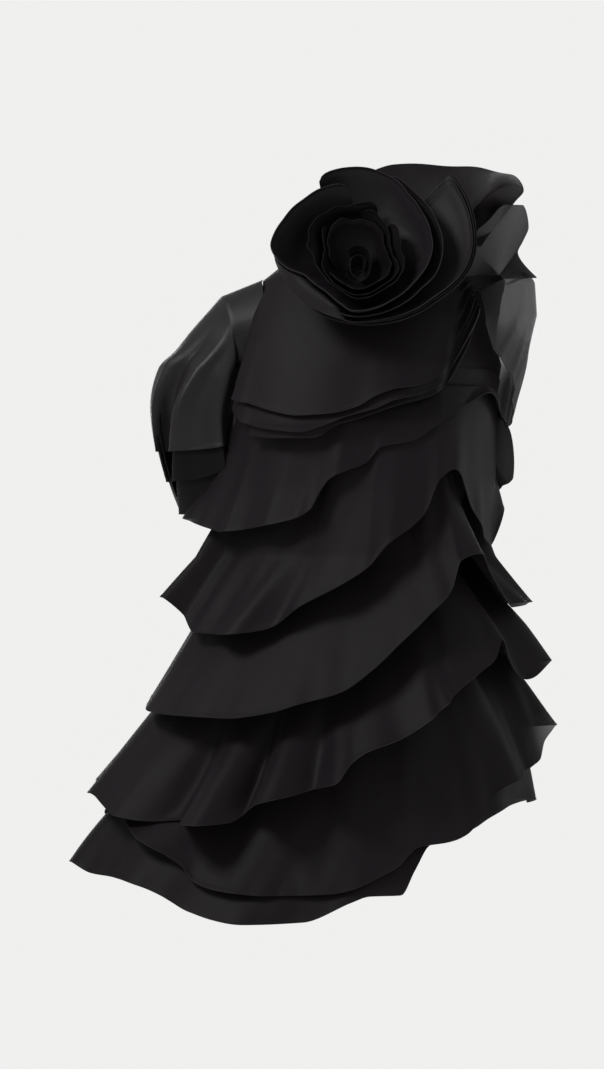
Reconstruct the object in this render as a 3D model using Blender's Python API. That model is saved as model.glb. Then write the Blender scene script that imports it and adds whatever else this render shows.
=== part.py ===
"""Ruffled mini dress of layered organza, filled out as worn, with a large cloth rose at the neck.

+Z is up and the front faces -Y. The origin is at the base of the neck, where the shoulders carry
the dress. Tables and sizes are in millimetres and degrees. An angle goes round the body's axis: 0 is
the wearer's left, -90 the front, 90 the back and 180 the wearer's right. The body leans, so the axis
moves to +X as it rises. Every piece is a sheet, given its wall about its middle surface.
"""

import bpy
import numpy as np
from mathutils import Matrix, Vector

MM = 0.001
WALL = 1.4
SEAM_OUT = 2.0  # from one wall's middle to the next where two pieces are sewn
LEAN = 0.14  # how far the axis moves for each unit of height


def table(columns, *rows):
    """A short table with named columns, a row for each section or fold, read along its first column."""
    values = np.array(sorted(rows), float)
    return dict(zip(columns.split(), values.T))


def read(rows, column, at):
    """A column's value along the first column, on a smooth curve that doesn't overshoot its rows."""
    places, values = next(iter(rows.values())), rows[column]
    gaps = np.diff(places)
    slopes = np.diff(values) / gaps
    same_way = slopes[:-1] * slopes[1:] > 0
    total = np.where(same_way, slopes[:-1] + slopes[1:], 1)
    inner = np.where(same_way, 2 * slopes[:-1] * slopes[1:] / total, 0)
    tangents = np.concatenate([slopes[:1], inner, slopes[-1:]])
    at = np.clip(at, places[0], places[-1])
    i = np.clip(np.searchsorted(places, at, side="right") - 1, 0, len(gaps) - 1)
    s = (at - places[i]) / gaps[i]
    rise = (3 - 2 * s) * s * s
    start, end = s * (1 - s) ** 2 * tangents[i], s * s * (s - 1) * tangents[i + 1]
    return values[i] * (1 - rise) + values[i + 1] * rise + gaps[i] * (start + end)


# The figure inside the dress: half its width, and how far its front and back lie from the axis.
BODY = table(
    "height width front back",
    (15, 66, 60, 60),  # neck
    (-12, 104, 72, 70),
    (-50, 146, 86, 82),  # shoulders
    (-90, 156, 100, 92),
    (-150, 155, 115, 98),
    (-220, 150, 125, 100),  # bust
    (-300, 135, 110, 92),
    (-380, 126, 99, 88),  # waist
    (-460, 148, 110, 104),
    (-840, 214, 160, 164),  # below the lowest hem
)


def on_body(height, angle, out):
    """Points that stand so far out from the body, at a height and an angle, in metres."""
    height, angle, out = np.broadcast_arrays(height, angle, out)
    turn = np.radians(angle)
    width, front, back = (
        np.interp(height, BODY["height"], BODY[column]) for column in ("width", "front", "back")
    )
    depth = np.where(np.sin(turn) < 0, front, back)
    x = LEAN * height + (width + out) * np.cos(turn)
    return np.stack([x, (depth + out) * np.sin(turn), height], axis=-1) * MM


def cloth_finish(name, colour, roughness, alpha=1.0):
    """Black organza; one sheer layer lets light through and looks grey."""
    finish = bpy.data.materials.new(name)
    finish.use_nodes = True
    shader = finish.node_tree.nodes["Principled BSDF"]
    shader.inputs["Base Color"].default_value = (*colour, 1)
    shader.inputs["Roughness"].default_value = roughness
    shader.inputs["Metallic"].default_value = 0
    shader.inputs["Sheen Weight"].default_value = 0.4
    shader.inputs["Alpha"].default_value = alpha
    return finish


def spread(rows, columns):
    """Even places, one for each edge of so many columns, from a table's first row to its last."""
    places = next(iter(rows.values()))
    return np.linspace(places[0], places[-1], columns + 1)


def sheet(name, points, finish, ring=False):
    """One cloth piece from a grid of points, rows by columns. A ring joins its last column to its first."""
    rows, columns = points.shape[:2]
    corner = np.arange(rows * columns).reshape(rows, columns)
    if ring:
        corner = np.hstack([corner, corner[:, :1]])
    faces = np.stack([corner[:-1, :-1], corner[1:, :-1], corner[1:, 1:], corner[:-1, 1:]], axis=-1)
    mesh = bpy.data.meshes.new(name)
    mesh.from_pydata(points.reshape(-1, 3).tolist(), [], faces.reshape(-1, 4).tolist())
    mesh.materials.append(finish)
    mesh.shade_smooth()
    piece = bpy.data.objects.new(name, mesh)
    bpy.context.scene.collection.objects.link(piece)
    thick = piece.modifiers.new("Wall", "SOLIDIFY")
    thick.thickness = WALL * MM
    thick.offset = 0
    return piece


for startup_object in list(bpy.data.objects):
    bpy.data.objects.remove(startup_object)

SATIN_BLACK = cloth_finish("black_organza", (0.012, 0.010, 0.012), 0.5)
DEEP_BLACK = cloth_finish("rose_organza", (0.008, 0.007, 0.009), 0.45)
SHEER_GREY = cloth_finish("sheer_organza", (0.06, 0.055, 0.06), 0.55, alpha=0.5)


# Base dress: a bodice front, two bodice backs and a skirt front and back. They meet at the sides, the
# shoulders, the waist and the middle of the back.
NECK_HEIGHT = 15
NECK_SCOOP = 40  # how far the front neckline dips
SIDE_SEAM = 0.15  # degrees that each panel stops short of the side seam
BACK_SEAM = 0.001  # how far each bodice back stops short of the middle, as a share of half the round
ARMHOLE_MIDDLE = -102
ARMHOLE_HEIGHT = 50
ARMHOLE_ANGLE = 24
YOKE_HEIGHT = -60
YOKE_STEPS = (0, 0.35, 0.7)
WAIST = -380
WAIST_SEAM = 0.35  # how far the bodice and the skirt each stop short of the waist
BODICE_HEIGHTS = (YOKE_HEIGHT, -90, -120, -150, -220, -300, WAIST + WAIST_SEAM)
SKIRT_HEIGHTS = (WAIST - WAIST_SEAM, -460)
SKIRT_STEPS = (0.35, 0.7, 1)
PANEL_BELOW_SEAM = 40  # how far the panels reach under the lowest flounce's seam


def neckline(angle):
    dip = np.where(np.sin(np.radians(angle)) < 0, NECK_SCOOP, 0)
    return NECK_HEIGHT - dip * np.sin(np.radians(angle)) ** 2


def panel(name, start, share, heights):
    """A sheet over a share of half the round from its start angle, armholes out of that half's edges."""
    inside = 1 - ((heights[:, :1] - ARMHOLE_MIDDLE) / ARMHOLE_HEIGHT) ** 2
    edge = np.maximum(ARMHOLE_ANGLE * np.sqrt(np.maximum(inside, 0)), SIDE_SEAM)
    sheet(name, on_body(heights, start + edge + (180 - 2 * edge) * share, 0), SATIN_BLACK)


def bodice(name, start, share):
    top = neckline(start + 180 * share)
    heights = [top + (YOKE_HEIGHT - top) * step for step in YOKE_STEPS]
    heights += [np.full_like(share, height) for height in BODICE_HEIGHTS]
    panel(name, start, share, np.array(heights))


def skirt(name, start, share, hem_seam):
    low = np.interp(start + 180 * share, ANGLES, hem_seam, period=360) - PANEL_BELOW_SEAM
    heights = [np.full_like(share, height) for height in SKIRT_HEIGHTS]
    heights += [SKIRT_HEIGHTS[-1] + (low - SKIRT_HEIGHTS[-1]) * step for step in SKIRT_STEPS]
    panel(name, start, share, np.array(heights))


# Flounces: six rings, each sewn on under the one above and open at its hem.
FRONT_COLUMNS = 38
BACK_COLUMNS = 20
ANGLES = np.concatenate(
    [np.linspace(-180, 0, FRONT_COLUMNS + 1)[:-1], np.linspace(0, 180, BACK_COLUMNS + 1)[:-1]]
)
FLOUNCE_STEPS = np.array([[0], [0.3], [0.62], [1]])
TUCK = 45  # how far a flounce starts above the hem that covers its seam
SEAM_APART = 20  # least height between two seams
CLEAR = 5  # least distance from a flounce to the one beneath it
BACK_UNEVEN = (0.8, 1.25, 0.9, 1.1, 0.75, 1.3, 1.0, 0.85, 1.2, 0.95)
CREST_LIFT = 0.33  # how far the hem rises at a crest, as a share of how far it swings out
BACK_SINK = 0.5  # how much closer the back's folds lie, as a share of their swing


def flounce_hem(folds, swing, *rows):
    """The hem's rows round the front, then so many uneven folds round the back to where it began."""
    first, last = min(rows), max(rows)
    turn = 360 + first[0] - last[0]
    shares = np.cumsum([BACK_UNEVEN[i % len(BACK_UNEVEN)] for i in range(2 * folds)])
    whole = list(rows)
    for i, share in enumerate(shares[:-1] / shares[-1]):
        ease = share * share * (3 - 2 * share)
        crest = (swing if i % 2 else -swing) * BACK_UNEVEN[(i + 3) % len(BACK_UNEVEN)]
        height = last[1] + (first[1] - last[1]) * ease + crest * CREST_LIFT
        middle = min(first[2], last[2]) - swing * BACK_SINK
        whole.append((last[0] + turn * share, height, middle + crest))
    whole += [(row[0] - 360, *row[1:]) for row in whole] + [(row[0] + 360, *row[1:]) for row in whole]
    return table("angle height out", *whole)


# Each flounce has how late it leaves the body in front and behind, how late at its sides, and its hem.
FLOUNCES = {
    "flounce_bust": (1.9, 1.9, flounce_hem(
        4, 9,
        (-180, -334, 70), (-163, -341, 62), (-149, -350, 49), (-128, -344, 45), (-115, -336, 41),
        (-107, -324, 40), (-104, -300, 33), (-101, -287, 28), (-95, -278, 24), (-87, -268, 22),
        (-82, -250, 19), (-69, -242, 18), (-57, -218, 16), (-43, -196, 16), (-31, -184, 16),
        (-15, -228, 28), (-6, -288, 52),
    )),
    "flounce_waist": (1.1, 0.8, flounce_hem(
        5, 10,
        (-162, -428, 85), (-157, -452, 52), (-149, -470, 49), (-129, -472, 50), (-116, -466, 46),
        (-104, -438, 48), (-91, -414, 55), (-81, -390, 60), (-75, -364, 60), (-70, -352, 58),
        (-62, -328, 54), (-58, -290, 46), (-51, -276, 42), (-35, -312, 48), (-20, -356, 54),
        (-5, -322, 48),
    )),
    "flounce_hip": (1.2, 1.5, flounce_hem(
        5, 11,
        (-156, -564, 66), (-140, -568, 65), (-119, -571, 65), (-106, -564, 64), (-98, -554, 64),
        (-86, -540, 66), (-78, -516, 68), (-69, -480, 73), (-60, -444, 78), (-54, -420, 82),
        (-50, -384, 86), (-42, -376, 88), (-22, -440, 80), (-8, -434, 92),
    )),
    "flounce_thigh": (1.4, 0.6, flounce_hem(
        6, 12,
        (-165, -662, 93), (-157, -674, 84), (-148, -688, 79), (-139, -694, 70), (-131, -692, 54),
        (-124, -696, 72), (-118, -697, 84), (-112, -694, 72), (-108, -677, 56), (-103, -670, 80),
        (-96, -662, 79), (-90, -654, 68), (-85, -648, 84), (-81, -624, 74), (-77, -610, 81),
        (-68, -594, 87), (-60, -566, 98), (-53, -542, 92), (-44, -516, 92), (-38, -502, 92),
        (-33, -478, 89), (-24, -526, 99), (-13, -504, 116),
    )),
    "flounce_lower": (1.15, 0.7, flounce_hem(
        6, 12,
        (-180, -690, 52), (-166, -680, 58), (-156, -678, 64), (-144, -706, 72), (-134, -724, 70),
        (-125, -746, 65), (-120, -764, 65), (-111, -775, 63), (-99, -780, 62), (-82, -778, 62),
        (-65, -750, 66), (-58, -724, 68), (-50, -718, 72), (-44, -708, 75), (-40, -688, 80),
        (-33, -656, 86), (-19, -626, 95), (-9, -581, 118),
    )),
    "flounce_hem": (1.1, 0.8, flounce_hem(
        6, 12,
        (-166, -744, 88), (-158, -756, 76), (-143, -763, 65), (-130, -780, 58), (-120, -802, 55),
        (-103, -817, 54), (-88, -814, 53), (-76, -790, 53), (-71, -781, 52), (-62, -780, 54),
        (-58, -751, 53), (-54, -722, 54), (-43, -708, 60), (-24, -676, 77), (-13, -670, 92),
    )),
}
TOP_SEAM = table(
    "angle height", (-180, -178), (-150, -165), (-90, -155), (-30, -156), (0, -170), (90, -178), (180, -178)
)


def clear_of(under, heights, out):
    """Each column of points pushed out where it comes nearer than CLEAR to the flounce beneath."""
    under_heights, under_out = under
    pushed = out.copy()
    for column in range(out.shape[1]):
        known = under_heights[::-1, column], under_out[::-1, column]
        below = np.interp(heights[:, column], *known, left=-CLEAR, right=-CLEAR)
        pushed[:, column] = np.maximum(out[:, column], below + CLEAR)
    return pushed


seams = []
seam = read(TOP_SEAM, "height", ANGLES)
for *_, hem in FLOUNCES.values():
    seams.append(seam)
    seam = np.minimum(read(hem, "height", ANGLES) + TUCK, seam - SEAM_APART)

under = None
for (name, (fall, side_fall, hem)), seam in list(zip(FLOUNCES.items(), seams))[::-1]:
    heights = seam + (read(hem, "height", ANGLES) - seam) * FLOUNCE_STEPS
    power = fall + (side_fall - fall) * np.cos(np.radians(ANGLES)) ** 4
    out = SEAM_OUT + (read(hem, "out", ANGLES) - SEAM_OUT) * FLOUNCE_STEPS**power
    if under:
        out[1:] = clear_of(under, heights[1:], out[1:])
    under = (heights, out)
    sheet(name, on_body(heights, ANGLES, out), SATIN_BLACK, ring=True)

front, back = np.linspace(0, 1, FRONT_COLUMNS // 2 + 1), np.linspace(0, 1, BACK_COLUMNS // 2 + 1)
bodice("bodice_front", -180, front)
bodice("bodice_back_left", 0, np.linspace(0, 0.5 - BACK_SEAM, BACK_COLUMNS // 4 + 1))
bodice("bodice_back_right", 0, np.linspace(0.5 + BACK_SEAM, 1, BACK_COLUMNS // 4 + 1))
skirt("skirt_front", -180, front, seams[-1])
skirt("skirt_back", 0, back, seams[-1])


# Chest cape: three layers sewn together along the neckline, the top one shortest.
CAPE_NECK = table(
    "angle height", (-153, -44), (-148, -40), (-135, -34), (-115, -32), (-90, -34), (-70, -34), (-43, -52)
)
CAPE_STEPS = np.array([[0], [0.2], [0.45], [0.72], [1]])
CAPE_FALL = 1.25  # how late the cape leaves the body
CAPE_APART = 2.8  # from one layer's middle to the next at the neckline
CAPES = {
    "cape_under": (1, table(
        "angle height out",
        (-140, -236, 30), (-127, -239, 30), (-110, -239, 28), (-101, -224, 27), (-92, -215, 25),
        (-77, -199, 22), (-65, -190, 20), (-57, -174, 17), (-53, -144, 14), (-49, -110, 12),
        (-46, -90, 10),
    )),
    "cape_middle": (2, table(
        "angle height out",
        (-151, -206, 28), (-147, -212, 31), (-141, -221, 34), (-127, -229, 34), (-115, -232, 33),
        (-107, -226, 32), (-98, -214, 31), (-87, -204, 30), (-80, -194, 29), (-69, -186, 27),
        (-60, -170, 24), (-55, -138, 20), (-52, -112, 17), (-49, -84, 15),
    )),
    "cape_top": (3, table(
        "angle height out",
        (-148, -192, 38), (-139, -197, 38), (-127, -206, 38), (-116, -212, 37), (-104, -210, 37),
        (-94, -202, 35), (-87, -188, 34), (-80, -180, 33), (-73, -177, 32), (-64, -164, 30),
        (-59, -134, 26), (-55, -104, 22), (-52, -74, 19),
    )),
}
CAPE_COLUMNS = 22
for name, (layer, hem) in CAPES.items():
    angle = spread(hem, CAPE_COLUMNS)
    top = read(CAPE_NECK, "height", angle)
    heights = top + (read(hem, "height", angle) - top) * CAPE_STEPS
    start = layer * CAPE_APART
    out = start + (read(hem, "out", angle) - start) * CAPE_STEPS**CAPE_FALL
    sheet(name, on_body(heights, angle, out), SATIN_BLACK)


# Right sleeve: three nested flounces round the arm, from the armhole to open ends.
SLEEVE = table(
    "along outer_x outer_z inner_x inner_z depth shear",
    (0.2, -202, -68, -189, -164, 46, 8),
    (0.4, -234, -106, -193, -182, 50, 26),
    (0.6, -260, -150, -200, -202, 54, 38),
    (0.8, -277, -200, -206, -222, 56, 33),
    (1.0, -273, -254, -211, -243, 56, 26),
    (1.3, -260, -308, -216, -272, 54, 20),
)
SLEEVE_RING = dict(middle=-103, height=52, angle=27)
SLEEVE_COLUMNS = 20
SLEEVE_FOLDS = 5
SLEEVE_SWING = 5
SLEEVE_LAYERS = {
    "sleeve_outer": (0, 0.2, 0.4, 0.6, 0.8, 1.0),
    "sleeve_second": (0.8, 1.0, 1.16),
    "sleeve_third": (0.8, 1.0, 1.16, 1.26),
}
SLEEVE_INSET = 3.5  # how much further in each inner layer stands at its open end


def sleeve_ring(along):
    """Points round the sleeve; 0 is its outer side and 90 its front."""
    turn = np.linspace(0, 2 * np.pi, SLEEVE_COLUMNS + 1)[:-1]
    if along == 0:
        angle = 180 + SLEEVE_RING["angle"] * np.sin(turn)
        height = SLEEVE_RING["middle"] + SLEEVE_RING["height"] * np.cos(turn)
        return on_body(height, angle, SEAM_OUT)
    across = {name: float(read(SLEEVE, name, along)) for name in SLEEVE}
    grown = SLEEVE_SWING * along * np.cos(SLEEVE_FOLDS * turn)
    half_x = (across["inner_x"] - across["outer_x"]) / 2 + grown
    half_z = (across["outer_z"] - across["inner_z"]) / 2
    x = (across["outer_x"] + across["inner_x"]) / 2 - half_x * np.cos(turn)
    x += across["shear"] * np.sin(turn)
    z = (across["outer_z"] + across["inner_z"]) / 2 + half_z * np.cos(turn)
    return np.stack([x, -(across["depth"] + grown) * np.sin(turn), z], axis=-1) * MM


def moved_in(points, distance):
    """A ring-shaped grid of points, moved along its normals towards the inside, row by row."""
    round_it = np.roll(points, -1, axis=1) - np.roll(points, 1, axis=1)
    normal = np.cross(round_it, np.gradient(points, axis=0))
    normal /= np.linalg.norm(normal, axis=-1, keepdims=True)
    return points + normal * distance[:, None, None] * MM


for layer, (name, steps) in enumerate(SLEEVE_LAYERS.items()):
    rings = np.array([sleeve_ring(along) for along in steps])
    opened = np.linspace(0, 1, len(steps))
    sheet(name, moved_in(rings, layer * (SEAM_OUT + SLEEVE_INSET * opened)), SATIN_BLACK, ring=True)


# Left armhole: a sheer sleeve flounce that hangs from the shoulder, and a short ruffle that stands on it.
LEFT_SLEEVE = table(
    "angle seam brim brim_out hem hem_out",
    (-44, -62, -68, 12, -104, 22),
    (-38, -57, -59, 24, -134, 25),
    (-24, -54, -52, 32, -158, 25),
    (-8, -53, -51, 34, -190, 24),
    (10, -53, -52, 34, -224, 26),
    (28, -56, -54, 30, -214, 32),
    (42, -62, -62, 22, -200, 26),
    (52, -72, -76, 12, -180, 20),
)
LEFT_COLUMNS = 16
TO_BRIM = np.array([[0], [0.5], [1]])
TO_HEM = np.array([[0.3], [0.65], [1]])
BRIM_SWELL = 0.75  # below 1, the cloth swells out soon after its seam
LEFT_OUT = 1.8  # the same distance as SEAM_OUT, for this seam's short stretch
angle = spread(LEFT_SLEEVE, LEFT_COLUMNS)
side = {name: read(LEFT_SLEEVE, name, angle) for name in LEFT_SLEEVE}
heights = np.vstack([
    side["seam"] + (side["brim"] - side["seam"]) * TO_BRIM,
    side["brim"] + (side["hem"] - side["brim"]) * TO_HEM,
])
out = np.vstack([
    LEFT_OUT + (side["brim_out"] - LEFT_OUT) * TO_BRIM**BRIM_SWELL,
    side["brim_out"] + (side["hem_out"] - side["brim_out"]) * TO_HEM,
])
sheet("left_sleeve", on_body(heights, angle, out), SHEER_GREY)

SHOULDER_RUFFLE = table(
    "angle seam edge_x edge_y edge_z",
    (-48, -46, 113, -88, 6),
    (-36, -43, 131, -88, 22),
    (-27, -42, 135, -72, 36),
    (-14, -42, 158, -56, 38),
    (0, -42, 166, -46, 14),
    (10, -42, 152, -44, -16),
    (20, -44, 175, -38, -43),
    (34, -46, 150, 14, -42),
)
RUFFLE_COLUMNS = 16
RUFFLE_STEPS = np.array([0, 0.35, 0.7, 1])[:, None, None]
angle = spread(SHOULDER_RUFFLE, RUFFLE_COLUMNS)
base = on_body(read(SHOULDER_RUFFLE, "seam", angle), angle, SEAM_OUT)
edge = np.stack([read(SHOULDER_RUFFLE, "edge_" + axis, angle) for axis in "xyz"], axis=-1) * MM
sheet("shoulder_ruffle", base + (edge - base) * RUFFLE_STEPS, SHEER_GREY)


# Collar petal: a wide band that stands on the neckline behind the rose and turns out over the shoulder.
COLLAR = table(
    "angle edge_x edge_y edge_z arch",
    (-68, 104, -106, 2, 4),
    (-45, 134, -94, 32, 10),
    (-20, 157, -62, 58, 16),
    (5, 146, 4, 74, 16),
    (35, 112, 52, 84, 12),
    (65, 62, 86, 90, 8),
    (90, 6, 94, 90, 6),
    (115, -46, 84, 70, 6),
    (135, -78, 60, 44, 6),
)
COLLAR_COLUMNS = 22
COLLAR_STEPS = np.array([0, 0.25, 0.5, 0.75, 1])[:, None, None]
COLLAR_LIFT = 1.8  # from the neckline's edge to the middle of the collar's first row
angle = spread(COLLAR, COLLAR_COLUMNS)
base = on_body(neckline(angle), angle, 0) + Vector((0, 0, COLLAR_LIFT * MM))
edge = np.stack([read(COLLAR, "edge_" + axis, angle) for axis in "xyz"], axis=-1) * MM
collar = base + (edge - base) * COLLAR_STEPS
collar[..., 2] += read(COLLAR, "arch", angle) * MM * np.sin(np.pi * COLLAR_STEPS[..., 0])
sheet("collar_petal", collar, SATIN_BLACK)


# Rose: petals like nested bowls, stacked on one small sewn base, leaning back to look up.
# Round the rose, 0 is the viewer's right and 90 its top. Reach is from the rose's axis to the rim.
ROSE_AT = (-38, -95.3, -45)
ROSE_TILT = 25
ROSE_BASE = 14  # radius of the sewn base
ROSE_STEPS = np.array([[0], [0.3], [0.55], [0.8], [1]])
PETALS = {
    "rose_outer_3": (0, table(
        "angle reach rise",
        (-150, 88, 42), (-134, 85.5, 44.5), (-84, 86, 47), (-35, 102, 46), (0, 134, 45), (30, 151, 43),
        (50, 162, 41),
    )),
    "rose_outer_2": (1, table(
        "angle reach rise",
        (-165, 91.5, 43), (-134, 82.5, 47), (-84, 83.5, 49.5), (-35, 99.5, 48.5),
        (0, 131.5, 47.5), (30, 148, 45.5), (48, 158, 44),
    )),
    "rose_outer_1": (2, table(
        "angle reach rise",
        (-178, 92, 45), (-134, 80, 50), (-84, 81, 52), (-35, 97, 51), (0, 129, 50), (30, 145, 48),
        (46, 154, 47),
    )),
    "rose_main_2": (3, table(
        "angle reach rise",
        (-120, 74, 58), (-96, 79, 59), (-78, 78.5, 59), (-35, 82, 58), (-11, 93, 57), (29, 103, 55),
        (52, 108, 53), (75, 121, 50),
    )),
    "rose_main": (4, table(
        "angle reach rise",
        (-247, 101, 58), (-210, 102, 61), (-188, 106, 62), (-171, 84, 64), (-153, 66, 66), (-130, 63, 68),
        (-108, 70, 69), (-96, 77, 70), (-78, 75, 69), (-55, 72, 67), (-35, 73, 65), (-11, 80, 64),
        (9, 86, 62), (29, 90, 60), (52, 97, 58), (72, 112, 56), (95, 118, 56), (110, 116, 56),
    )),
    "rose_middle": (5, table(
        "angle reach rise",
        (-290, 76, 56), (-260, 74, 57), (-200, 66, 60), (-174, 56, 62), (-149, 47, 63), (-120, 49, 64),
        (-90, 54, 64), (-54, 54, 63), (-20, 50, 62), (17, 55, 60), (55, 64, 58),
    )),
    "rose_inner": (6, table(
        "angle reach rise",
        (-165, 38, 56), (-140, 34, 57), (-84, 36, 58), (0, 37, 57), (50, 46, 55), (82, 56, 53),
        (130, 52, 54), (180, 42, 56),
    )),
}
PETAL_COLUMN = 13  # degrees
PETAL_STACK = 2.0
HEART = dict(start=-90, turns=1.6, lift=1.4, base=(4, 13.8), rim=(10, 25), rise=(44, 50), columns=30)


def rose_points(angle, reach, rise):
    """Points in the rose's own frame, its axis up +Z, moved to where the rose is sewn on."""
    turn = np.radians(angle)
    reach, rise = np.broadcast_arrays(reach, rise)
    points = np.stack([reach * np.cos(turn), reach * np.sin(turn), rise], axis=-1)
    face_front = Matrix.Rotation(np.radians(90 - ROSE_TILT), 3, "X")
    return (points @ np.array(face_front).T + ROSE_AT) * MM


for name, (layer, rim) in PETALS.items():
    angle = spread(rim, round((rim["angle"][-1] - rim["angle"][0]) / PETAL_COLUMN))
    base = layer * PETAL_STACK
    reach = ROSE_BASE + (read(rim, "reach", angle) - ROSE_BASE) * np.sin(ROSE_STEPS * np.pi / 2)
    rise = base + (read(rim, "rise", angle) - base) * (1 - np.cos(ROSE_STEPS * np.pi / 2))
    sheet(name, rose_points(angle, reach, rise), DEEP_BLACK)

wound = np.linspace(0, 1, HEART["columns"] + 1)
angle = HEART["start"] + 360 * HEART["turns"] * wound
base = (len(PETALS) - 1) * PETAL_STACK + HEART["lift"]
inner, outer = (low + (high - low) * wound for low, high in (HEART["base"], HEART["rim"]))
reach = inner + (outer - inner) * ROSE_STEPS[::2]
rim_rise = HEART["rise"][0] + (HEART["rise"][1] - HEART["rise"][0]) * wound
rise = base + (rim_rise - base) * ROSE_STEPS[::2]
sheet("rose_heart", rose_points(angle, reach, rise), DEEP_BLACK)
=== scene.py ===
"""Ruffled mini dress of layered black organza, filled out as worn, with a large cloth rose at the neck.

Tables and sizes are in millimetres and degrees. An angle goes round the body's axis: 0 is the wearer's
left, -90 the front, 90 the back and 180 the wearer's right.
"""

import math

import bpy
import numpy as np
from mathutils import Matrix, Vector


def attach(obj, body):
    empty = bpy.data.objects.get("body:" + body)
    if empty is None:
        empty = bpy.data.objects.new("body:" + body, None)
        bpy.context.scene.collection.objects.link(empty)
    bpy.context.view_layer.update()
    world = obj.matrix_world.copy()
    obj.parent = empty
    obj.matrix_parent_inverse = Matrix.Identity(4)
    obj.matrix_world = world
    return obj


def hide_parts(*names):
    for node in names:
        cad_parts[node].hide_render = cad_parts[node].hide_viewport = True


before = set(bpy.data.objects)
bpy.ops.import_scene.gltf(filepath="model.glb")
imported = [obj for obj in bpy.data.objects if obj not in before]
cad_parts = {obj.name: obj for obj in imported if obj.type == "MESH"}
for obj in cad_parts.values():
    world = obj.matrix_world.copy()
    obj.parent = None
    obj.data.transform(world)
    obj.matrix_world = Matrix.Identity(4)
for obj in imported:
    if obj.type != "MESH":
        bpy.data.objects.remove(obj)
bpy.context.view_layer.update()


# The studio: a plain pale floor that fades into a pale surround, a large soft light from the upper left and
# another from behind, weaker ones from the right, and a long lens level with the waist, as in the photo.
MM = 0.001
PHOTO_WIDTH, PHOTO_HEIGHT = 604, 1069
PIXEL = 1.2  # what one pixel of the photo measures at the dress
NECK_PIXEL = (390, 240)  # the pixel that shows the base of the neck
CAMERA_AWAY = 12000
CAMERA_REACH = 100000
SENSOR = 36
FLOOR_HEIGHT = -1450
FLOOR_RADIUS = 3500
SURROUND = (0.87, 0.87, 0.86, 1)
SURROUND_LIGHT = 0.34  # how strongly it lights the dress, as a share of how bright it looks
SOFT_LIGHTS = {
    "key": dict(at=(-1600, -1250, 1450), width=800, watts=26),
    "fill": dict(at=(1700, -1700, 300), width=1800, watts=3.5),
    "side": dict(at=(2300, 700, 0), width=1400, watts=8),
    "back": dict(at=(0, 2400, -250), width=1700, watts=28),
}

camera = bpy.data.objects.new("camera", bpy.data.cameras.new("camera"))
bpy.context.scene.collection.objects.link(camera)
bpy.context.scene.camera = camera
frame_middle = Vector((
    (PHOTO_WIDTH / 2 - NECK_PIXEL[0]) * PIXEL,
    0,
    (NECK_PIXEL[1] - PHOTO_HEIGHT / 2) * PIXEL,
))
camera.location = (frame_middle - Vector((0, CAMERA_AWAY, 0))) * MM
camera.rotation_euler = (math.pi / 2, 0, 0)
camera.data.sensor_width = SENSOR
camera.data.lens = SENSOR * CAMERA_AWAY / (PHOTO_HEIGHT * PIXEL)
camera.data.clip_end = CAMERA_REACH * MM
bpy.context.scene.view_settings.view_transform = "Standard"

for name, light in SOFT_LIGHTS.items():
    lamp = bpy.data.objects.new(name, bpy.data.lights.new(name, "AREA"))
    bpy.context.scene.collection.objects.link(lamp)
    lamp.data.size = light["width"] * MM
    lamp.data.energy = light["watts"]
    lamp.location = Vector(light["at"]) * MM
    lamp.rotation_euler = (frame_middle * MM - lamp.location).to_track_quat("-Z", "Y").to_euler()

world = bpy.data.worlds.new("surround")
bpy.context.scene.world = world
world.use_nodes = True
tree = world.node_tree
tree.nodes.clear()
seen = tree.nodes.new("ShaderNodeBackground")
seen.inputs["Color"].default_value = SURROUND
lit = tree.nodes.new("ShaderNodeBackground")
lit.inputs["Color"].default_value = SURROUND
lit.inputs["Strength"].default_value = SURROUND_LIGHT
ray = tree.nodes.new("ShaderNodeLightPath")
either = tree.nodes.new("ShaderNodeMixShader")
shown = tree.nodes.new("ShaderNodeOutputWorld")
tree.links.new(ray.outputs["Is Camera Ray"], either.inputs["Fac"])
tree.links.new(lit.outputs[0], either.inputs[1])
tree.links.new(seen.outputs[0], either.inputs[2])
tree.links.new(either.outputs[0], shown.inputs["Surface"])


# Organza: a crisp, fine plain weave of black thread with a satin face. One layer lets light through, and
# several look black with a faint plum cast. Each sheet is a thin wall, double along its stitched hem.
class Thread:
    """A value in a cloth's node tree. Arithmetic on it adds Math nodes, and node() adds any other node."""

    def __init__(self, tree, socket=None):
        self.tree = tree
        self.socket = socket

    def node(self, kind, inputs, output=0, **settings):
        made = self.tree.nodes.new(kind)
        for name, value in settings.items():
            setattr(made, name, value)
        for name, value in inputs.items():
            if isinstance(value, Thread):
                self.tree.links.new(value.socket, made.inputs[name])
            else:
                made.inputs[name].default_value = value
        return Thread(self.tree, made.outputs[output] if made.outputs else None)

    def math(self, operation, first, second=0.0):
        return self.node("ShaderNodeMath", {0: first, 1: second}, operation=operation)

    def __add__(self, other):
        return self.math("ADD", self, other)

    def __sub__(self, other):
        return self.math("SUBTRACT", self, other)

    def __rsub__(self, other):
        return self.math("SUBTRACT", other, self)

    def __mul__(self, other):
        return self.math("MULTIPLY", self, other)

    __radd__ = __add__
    __rmul__ = __mul__


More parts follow.
